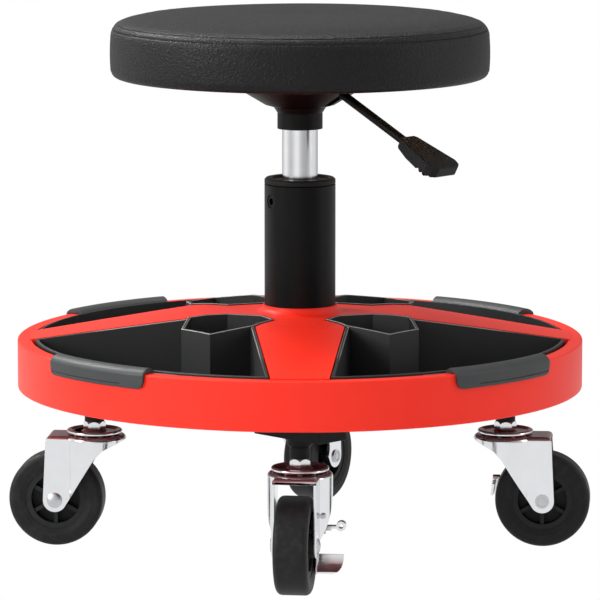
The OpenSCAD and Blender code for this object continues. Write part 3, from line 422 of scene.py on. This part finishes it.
def choose(obj, wanted):
    """Selects the vertices whose place passes the test, in edit mode."""
    bpy.ops.mesh.select_all(action="DESELECT")
    leave()
    for vertex in obj.data.vertices:
        vertex.select = bool(wanted(vertex.co))
    bpy.ops.object.mode_set(mode="EDIT")


def apply(obj, kind, **settings):
    """Adds a modifier with these settings and applies it."""
    pick(obj)
    modifier = obj.modifiers.new(kind.lower(), kind)
    for key, value in settings.items():
        setattr(modifier, key, value)
    bpy.ops.object.modifier_apply(modifier=modifier.name)


def smooth(obj, angle=35):
    pick(obj)
    bpy.ops.object.shade_smooth_by_angle(angle=math.radians(angle))


def settle(obj, place):
    """Puts a finished mesh where place says, with its object left at the origin."""
    obj.data.transform(place)
    obj.data.update()


def turned(name, outline, sides):
    """A shape of revolution about Z, drawn out ring by ring along (radius, height) points."""
    radius, height = outline[0]
    pick_nothing()
    bpy.ops.mesh.primitive_circle_add(vertices=sides, radius=radius, location=(0, 0, 0))
    piece = bpy.context.object
    piece.name = name
    edit(piece)
    bpy.ops.mesh.select_all(action="SELECT")
    bpy.ops.transform.translate(value=(0, 0, height))
    for next_radius, next_height in outline[1:]:
        grow = next_radius / radius
        bpy.ops.mesh.extrude_region_move()
        bpy.ops.transform.translate(value=(0, 0, next_height - height))
        bpy.ops.transform.resize(value=(grow, grow, 1), center_override=(0, 0, next_height))
        radius, height = next_radius, next_height
    bpy.ops.mesh.edge_face_add()
    first_radius, first_height = outline[0]
    choose(piece, lambda co: abs(co.z - first_height) < 1e-7 and abs(co.xy.length - first_radius) < 1e-6)
    bpy.ops.mesh.edge_face_add()
    bpy.ops.mesh.select_all(action="SELECT")
    bpy.ops.mesh.remove_doubles(threshold=1e-6)
    bpy.ops.mesh.normals_make_consistent(inside=False)
    leave()
    return piece


def dress(piece, slot, body, *replaced, finish=None):
    """Gives a piece its finish, looked up by slot unless one is given, and its body, and hides the solids it
    stands for.
    """
    piece.data.materials.clear()
    piece.data.materials.append(finish or FINISHES[slot])
    if replaced:
        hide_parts(*replaced)
    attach(piece, body)
    return piece


def arc(centre, radius, start, end, steps):
    """Points on an arc in the (radius, height) plane, angles in degrees."""
    turns = [math.radians(start + (end - start) * i / steps) for i in range(steps + 1)]
    return [(centre[0] + radius * math.cos(t), centre[1] + radius * math.sin(t)) for t in turns]


def rounded(node, width, segments=2, angle=28):
    """A copy of a solid with its sharp edges eased by width."""
    piece = nodes[node].copy()
    piece.data = nodes[node].data.copy()
    piece.name = "eased_" + node
    piece.parent = None
    piece.matrix_world = Matrix()
    bpy.context.scene.collection.objects.link(piece)
    edit(piece)
    bpy.ops.mesh.select_all(action="SELECT")
    bpy.ops.mesh.remove_doubles(threshold=1e-6)
    bpy.ops.mesh.dissolve_limited(angle_limit=math.radians(0.4))
    leave()
    apply(
        piece,
        "BEVEL",
        width=width,
        segments=segments,
        limit_method="ANGLE",
        angle_limit=math.radians(angle),
        use_clamp_overlap=False,
        miter_outer="MITER_ARC",
    )
    smooth(piece, 40)
    apply(piece, "WEIGHTED_NORMAL", keep_sharp=True)
    return dress(piece, SLOT_OF[node], BODY_OF[node], node)


# Seat


SWELL = 0.5 * MM
ROLL = 14.4 * MM
CROWN = 18.3 * MM
CROWN_POWER = 4.6
SEAM_TURN = 27
CREASE_TURN = 47
SEAM_GROOVE = 0.55 * MM
CREASE_GROOVE = 0.5 * MM
STITCH = 1.5 * MM
STITCH_PITCH = 2.7 * MM
SWELL_CAP = 0.6 * MM
SWELL_FRAMES = 20
COVER_SIDES = 384
SEWN_REACH = 1.6 * MM
PUCKER = 0.35 * MM
PUCKER_REACH = 5 * MM
SAG = 0.4 * MM
HEM_R = 4.9 * MM
ROLL_AT = Vector((SEAT_R - SWELL - ROLL, SEAT_HIGH.z - CROWN))


def on_roll(turn, sunk=0.0):
    """A point of the cover's rolled edge, turn degrees above the side, sunk below the skin."""
    angle = math.radians(turn)
    return ROLL_AT + (ROLL - sunk) * Vector((math.cos(angle), math.sin(angle)))


def seat_outline():
    """Half outline of the cover from the middle of the crown to the edge underneath."""
    side = SEAT_R - SWELL
    low = SEAT_LOW.z
    crown_steps = 18
    crown = []
    for i in range(crown_steps):
        share = (i + 0.12) / crown_steps
        crown.append((ROLL_AT.x * share, ROLL_AT.y + ROLL + (CROWN - ROLL) * (1 - share**CROWN_POWER)))
    roll = [on_roll(turn) for turn in range(84, CREASE_TURN + 2, -6)]
    crease = [on_roll(CREASE_TURN + 2), on_roll(CREASE_TURN, CREASE_GROOVE), on_roll(CREASE_TURN - 2)]
    edge = [on_roll(turn) for turn in range(CREASE_TURN - 5, SEAM_TURN + 3, -4)]
    seam = [
        on_roll(SEAM_TURN + 2.5, 0.1 * MM),
        on_roll(SEAM_TURN, SEAM_GROOVE),
        on_roll(SEAM_TURN - 2.5, 0.1 * MM),
    ]
    shoulder = [on_roll(turn) for turn in range(SEAM_TURN - 6, 3, -5)]
    band = []
    band_steps = 11
    band_low = low + 5 * MM
    for i in range(band_steps + 1):
        share = i / band_steps
        band.append((side + SWELL * 4 * share * (1 - share), ROLL_AT.y + (band_low - ROLL_AT.y) * share))
    under = arc((side - HEM_R - 0.5 * MM, low + HEM_R), HEM_R, -8, -90, 7)
    back = [(SEAT_R - 14 * MM, low + 0.4 * MM), (SEAT_R - 15.7 * MM, low + 9.2 * MM)]
    inside = [(0.06, low + 9.4 * MM), (0.002, low + 9.4 * MM)]
    above = crown + roll + crease + edge + seam + shoulder
    return [tuple(point) for point in above + band + under + back + inside]


def swell(piece, held):
    """Fills the cover as foam does: cloth under pressure, held along its seams and underneath."""
    before = [vertex.co.copy() for vertex in piece.data.vertices]
    group = piece.vertex_groups.new(name="sewn")
    for vertex in piece.data.vertices:
        group.add([vertex.index], held(vertex.co), "REPLACE")
    pick(piece)
    cloth = piece.modifiers.new("cloth", "CLOTH")
    cloth.settings.quality = 6
    cloth.settings.mass = 0.35
    cloth.settings.tension_stiffness = 40
    cloth.settings.compression_stiffness = 40
    cloth.settings.shear_stiffness = 20
    cloth.settings.bending_stiffness = 6
    cloth.settings.use_pressure = True
    cloth.settings.uniform_pressure_force = 4.0
    cloth.settings.vertex_group_mass = group.name
    cloth.settings.effector_weights.gravity = 0
    cloth.collision_settings.use_collision = False
    cloth.point_cache.frame_start = 1
    cloth.point_cache.frame_end = SWELL_FRAMES
    for step in range(1, SWELL_FRAMES + 1):
        bpy.context.scene.frame_set(step)
    bpy.ops.object.modifier_apply(modifier=cloth.name)
    bpy.context.scene.frame_set(1)
    for vertex, start in zip(piece.data.vertices, before):
        move = vertex.co - start
        if move.length > SWELL_CAP:
            vertex.co = start + move * (SWELL_CAP / move.length)
    piece.vertex_groups.clear()


def seat_cover():
    piece = turned("seat_cover", seat_outline(), COVER_SIDES)
    seam = on_roll(SEAM_TURN)
    crease = on_roll(CREASE_TURN)

    def from_seams(co):
        at = Vector((co.xy.length, co.z))
        return min((at - seam).length, (at - crease).length)

    def held(co):
        radius = co.xy.length
        if co.z < SEAT_LOW.z + 4 * MM or radius < SEAT_R - 20 * MM and co.z < SEAT_HIGH.z - 25 * MM:
            return 1.0
        return 1.0 if from_seams(co) < SEWN_REACH else 0.0

    swell(piece, held)
    for vertex in piece.data.vertices:
        co = vertex.co
        radius = co.xy.length
        if radius < 0.004 or co.z < SEAT_LOW.z + 1 * MM:
            continue
        turn = math.atan2(co.y, co.x)
        around = Vector((math.cos(turn), math.sin(turn), 0))
        pucker = noise.noise(around * 26) * math.exp(-((from_seams(co) / PUCKER_REACH) ** 2)) * PUCKER
        sag = noise.noise(Vector((co.x * 9, co.y * 9, 3.1))) * SAG
        if co.z > seam.y:
            co.z += sag * (1 - (radius / SEAT_R) ** 4) + pucker * 0.4
        co.xy = co.xy * (1 + pucker / radius)
    smooth(piece, 60)
    return dress(piece, "seat_vinyl", "seat", "seat_cushion")


def seat_stitches():
    """A row of lock stitches along the side seam, one stitch repeated."""
    seam = on_roll(SEAM_TURN, 0.15 * MM)
    radius = seam.x
    count = round(2 * math.pi * radius / STITCH_PITCH)
    pick_nothing()
    bpy.ops.mesh.primitive_uv_sphere_add(segments=8, ring_count=6, radius=STITCH / 2)
    piece = bpy.context.object
    piece.name = "seat_stitches"
    edit(piece)
    bpy.ops.mesh.select_all(action="SELECT")
    bpy.ops.transform.resize(value=(0.5, 1, 0.5))
    leave()
    settle(piece, Matrix.Translation((radius, 0, seam.y)))
    pick_nothing()
    bpy.ops.object.empty_add(location=(0, 0, 0))
    turner = bpy.context.object
    turner.rotation_euler = (0, 0, 2 * math.pi / count)
    bpy.context.view_layer.update()
    apply(
        piece,
        "ARRAY",
        count=count,
        use_relative_offset=False,
        use_object_offset=True,
        offset_object=turner,
    )
    bpy.data.objects.remove(turner)
    smooth(piece, 60)
    return dress(piece, "seat_vinyl", "seat", finish=thread())


seat_cover()
seat_stitches()


# Grips


GRIP_ARC = 26.4
GRIP_EXTRA = 5.5
GRIP_WALL = 2.3 * MM
GRIP_FIT = 0.3 * MM
GRIP_CROWN = 4.2 * MM
FLAP_DROP = 11 * MM
INNER_DROP = 13 * MM
CORNER_R = 6 * MM
SLIT_UP = 2.6 * MM
SLIT = 0.6 * MM
SLIT_REACH = 0.6
RIM_TOP_W = 11 * MM
GRIP_STEPS = 56
TONGUE_STEPS = 12
TONGUE_LAP = 0.5
GRIPS = (
    ("front_left", 225.3, 1),
    ("front_right", 314.7, -1),
    ("rear_left", 134.7, -1),
    ("rear_right", 45.3, 1),
)


def eased(points):
    """A section with its corners rounded: each point is (radius, height, ease)."""
    outline = []
    for i, (radius, height, ease) in enumerate(points):
        corner = Vector((radius, height))
        if not ease:
            outline.append(corner)
            continue
        before = Vector(points[i - 1][:2]) - corner
        after = Vector(points[(i + 1) % len(points)][:2]) - corner
        start, end = corner + before.normalized() * ease, corner + after.normalized() * ease
        for share in (0, 0.25, 0.5, 0.75, 1):
            outline.append(start.lerp(corner, share).lerp(corner.lerp(end, share), share))
    return outline


def swept(name, section, start, end, steps):
    """A closed section in the (radius, height) plane swept about Z between two angles."""
    pick_nothing()
    bpy.ops.mesh.primitive_circle_add(vertices=len(section), radius=0.01, location=(0, 0, 0))
    piece = bpy.context.object
    piece.name = name
    turn = math.radians(start)
    for vertex, (radius, height) in zip(piece.data.vertices, section):
        vertex.co = (radius * math.cos(turn), radius * math.sin(turn), height)
    edit(piece)
    bpy.ops.mesh.select_all(action="SELECT")
    bpy.ops.mesh.edge_face_add()
    bpy.ops.mesh.select_all(action="SELECT")
    bpy.ops.mesh.spin(
        steps=steps, angle=math.radians(end - start), center=(0, 0, 0), axis=(0, 0, -1), dupli=False
    )
    bpy.ops.mesh.select_all(action="SELECT")
    bpy.ops.mesh.remove_doubles(threshold=1e-6)
    bpy.ops.mesh.normals_make_consistent(inside=False)
    leave()
    return piece


def grip_section():
    """Inner flap, rounded crown and outer flap, with a slit above the outer flap's lower edge."""
    outer = RIM_R + GRIP_FIT
    inner = RIM_R - RIM_TOP_W - GRIP_FIT
    face = outer + GRIP_WALL
    back = inner - GRIP_WALL
    top = RIM_TOP + GRIP_FIT
    low = RIM_TOP - FLAP_DROP
    half = (face - back) / 2
    crown_r = (half**2 + GRIP_CROWN**2) / (2 * GRIP_CROWN)
    lean = math.degrees(math.asin(half / crown_r))
    centre = ((face + back) / 2, top + GRIP_CROWN - crown_r)
    crown = arc(centre, crown_r, 90 - lean * 0.82, 90 + lean * 0.82, 12)
    slit = low + SLIT_UP
    return eased(
        [
            (back, RIM_TOP - INNER_DROP, 0.5 * MM),
            (inner, RIM_TOP - INNER_DROP, 0.5 * MM),
            (inner, top, 0),
            (outer, top, 0),
            (outer, low, 0.5 * MM),
            (face, low, 0.8 * MM),
            (face, slit, 0),
            (face - SLIT, slit + SLIT / 3, 0),
            (face - SLIT, slit + SLIT, 0),
            (face, slit + SLIT * 4 / 3, 0),
            (face, top - 0.8 * MM, 0.7 * MM),
        ]
        + [(radius, height, 0) for radius, height in crown]
        + [(back, top - 0.8 * MM, 0.7 * MM)]
    )


def grip(corner, angle, turn):
    """One grip, with the inner flap's tongue that runs on past one end."""
    half = GRIP_ARC / 2
    face = RIM_R + GRIP_FIT + GRIP_WALL
    slit_end = math.radians(half) * SLIT_REACH
    piece = swept("grip_cover_" + corner, grip_section(), angle - half, angle + half, GRIP_STEPS)
    low = RIM_TOP - FLAP_DROP
    for vertex in piece.data.vertices:
        co = vertex.co
        along = math.remainder(math.atan2(co.y, co.x) - math.radians(angle), 2 * math.pi) * turn
        off = abs(along)
        in_slit = abs(co.z - low - SLIT_UP - SLIT / 2) < SLIT and co.xy.length > face - 2 * SLIT
        if along > slit_end and in_slit:
            co.xy = co.xy * (face / co.xy.length)
        from_end = (math.radians(half) - off) * RIM_R
        if from_end < CORNER_R:
            lift = CORNER_R - math.sqrt(max(0, CORNER_R**2 - (CORNER_R - from_end) ** 2))
            co.z = max(co.z, low + lift)
    edit(piece)
    bpy.ops.mesh.select_all(action="SELECT")
    bpy.ops.mesh.remove_doubles(threshold=1e-5)
    leave()
    inner = RIM_R - RIM_TOP_W - GRIP_FIT
    tongue_section = eased(
        [
            (inner - GRIP_WALL, RIM_TOP - INNER_DROP, 0.5 * MM),
            (inner, RIM_TOP - INNER_DROP, 0.5 * MM),
            (inner, RIM_TOP, 0.5 * MM),
            (inner - GRIP_WALL, RIM_TOP, 0.5 * MM),
        ]
    )
    start, end = angle + half - TONGUE_LAP, angle + half + GRIP_EXTRA
    if turn < 0:
        start, end = angle - half - GRIP_EXTRA, angle - half + TONGUE_LAP
    tongue = swept("tongue", tongue_section, start, end, TONGUE_STEPS)
    pick(piece)
    tongue.select_set(True)
    bpy.ops.object.join()
    apply(piece, "BEVEL", width=0.5 * MM, segments=2, limit_method="ANGLE", angle_limit=math.radians(72))
    smooth(piece, 40)
    return dress(piece, "grip_rubber", "base", "grip_" + corner)


for corner, angle, turn in GRIPS:
    grip(corner, angle, turn)


# Solids with their edges eased


def corner_names(stem):
    return [stem + side for side in ("front_left", "front_right", "rear_left", "rear_right")]


for node in corner_names("tray_"):
    rounded(node, 0.5 * MM)
for node in ["fork_" + caster for caster in CASTERS]:
    rounded(node, 0.35 * MM)
for node in ("brake_pedal_front", "brake_pedal_right"):
    rounded(node, 0.25 * MM)
for node in ("cross_frame", "column_cap", "tray_rim"):
    rounded(node, 0.5 * MM)
for node in ("lever_paddle", "upper_races"):
    rounded(node, 1.1 * MM, 3)


# Stage, lamps and camera


FOCAL_PX = 4478
FRAME_PX = 600
DISTANCE = 3.538
ELEVATION = math.radians(8.40)
AIM = Vector((0, 0, 0.1958))
SWEEP_R = 1.0
FLOOR_DROP = 0.6 * MM
FLOOR_SIZE = 60

# Brightness that glossy surfaces see at bearings from the front, left negative, in degrees
ROOM = (
    (-180, 0.3),
    (-150, 0.5),
    (-122, 0.95),
    (-99, 1.05),
    (-81, 0.75),
    (-65, 0.52),
    (-50, 0.6),
    (-36, 0.88),
    (-23, 1.0),
    (-10, 0.95),
    (3, 0.66),
    (18, 0.5),
    (40, 0.43),
    (57, 0.52),
    (73, 0.8),
    (110, 0.82),
    (137, 0.5),
    (180, 0.3),
)


def room(f, x, y):
    """The room's brightness towards a place on the floor or a way through the air, and the place's reach."""
    bearing = x.math("ARCTAN2", x, y * -1)
    stops = [((turn + 180) / 360, bright) for turn, bright in ROOM]
    bright = f.node("ShaderNodeValToRGB", {"stops": stops}, {"Fac": bearing / (2 * math.pi) + 0.5})
    return bright, (x * x + y * y) ** 0.5


def white_floor():
    pick_nothing()
    bpy.ops.mesh.primitive_plane_add(size=FLOOR_SIZE, location=(0, 0, -FLOOR_DROP))
    floor = bpy.context.object
    floor.name = "studio_floor"
    f = Finish("studio_floor")
    camera = f.node("ShaderNodeLightPath", output="Is Camera Ray")
    glossy = f.node("ShaderNodeLightPath", output="Is Glossy Ray")
    far, reach = room(f, f.axis("X"), f.axis("Y"))
    past = reach.above(SWEEP_R * 0.6, SWEEP_R)
    mirrored = far * past + (1 - past) * 0.95
    matt = f.node("ShaderNodeBsdfDiffuse", sockets={"Color": (0.8, 0.8, 0.8)})
    glow = f.node("ShaderNodeEmission", sockets={"Color": (1, 1, 1), "Strength": camera.highest(mirrored)})
    mixed = f.node("ShaderNodeMixShader", sockets={0: camera.highest(glossy), 1: matt, 2: glow})
    f.node("ShaderNodeOutputMaterial", sockets={"Surface": mixed})
    floor.data.materials.append(f.material)


def studio_world():
    world = bpy.data.worlds.new("studio")
    bpy.context.scene.world = world
    world.use_nodes = True
    f = Finish("studio", world.node_tree)
    camera = f.node("ShaderNodeLightPath", output="Is Camera Ray")
    way = f.node("ShaderNodeTexCoord", output="Generated")
    x, y = (f.node("ShaderNodeSeparateXYZ", sockets={0: way}, output=name) for name in "XY")
    seen, reach = room(f, x, y)
    sky = f.node("ShaderNodeBackground", sockets={"Color": (1, 1, 1), "Strength": camera.highest(seen)})
    f.node("ShaderNodeOutputWorld", sockets={"Surface": sky})


def lamp(name, place, size, watts):
    """A soft rectangular lamp that faces the column."""
    light = bpy.data.lights.new(name, "AREA")
    light.shape = "RECTANGLE"
    light.size, light.size_y = size
    light.energy = watts
    holder = bpy.data.objects.new(name, light)
    bpy.context.scene.collection.objects.link(holder)
    holder.location = place
    holder.rotation_euler = (AIM - Vector(place)).to_track_quat("-Z", "Y").to_euler()


def camera():
    data = bpy.data.cameras.new("camera")
    data.sensor_width = 36
    data.lens = FOCAL_PX / FRAME_PX * data.sensor_width
    data.clip_end = 100
    holder = bpy.data.objects.new("camera", data)
    bpy.context.scene.collection.objects.link(holder)
    holder.location = AIM + DISTANCE * Vector((0, -math.cos(ELEVATION), math.sin(ELEVATION)))
    holder.rotation_euler = (AIM - holder.location).to_track_quat("-Z", "Y").to_euler()
    bpy.context.scene.camera = holder


white_floor()
studio_world()
lamp("left_box", (-2.2, -1.2, 1.2), (1.0, 1.4), 42)
lamp("edge_box", (-1.56, 1.0, 2.0), (0.6, 0.6), 50)
lamp("right_box", (2.4, -0.6, 1.0), (0.8, 1.6), 8)
lamp("top_box", (-0.3, 0.3, 2.4), (1.6, 0.8), 34)
camera()

bpy.context.scene.view_settings.view_transform = "Standard"
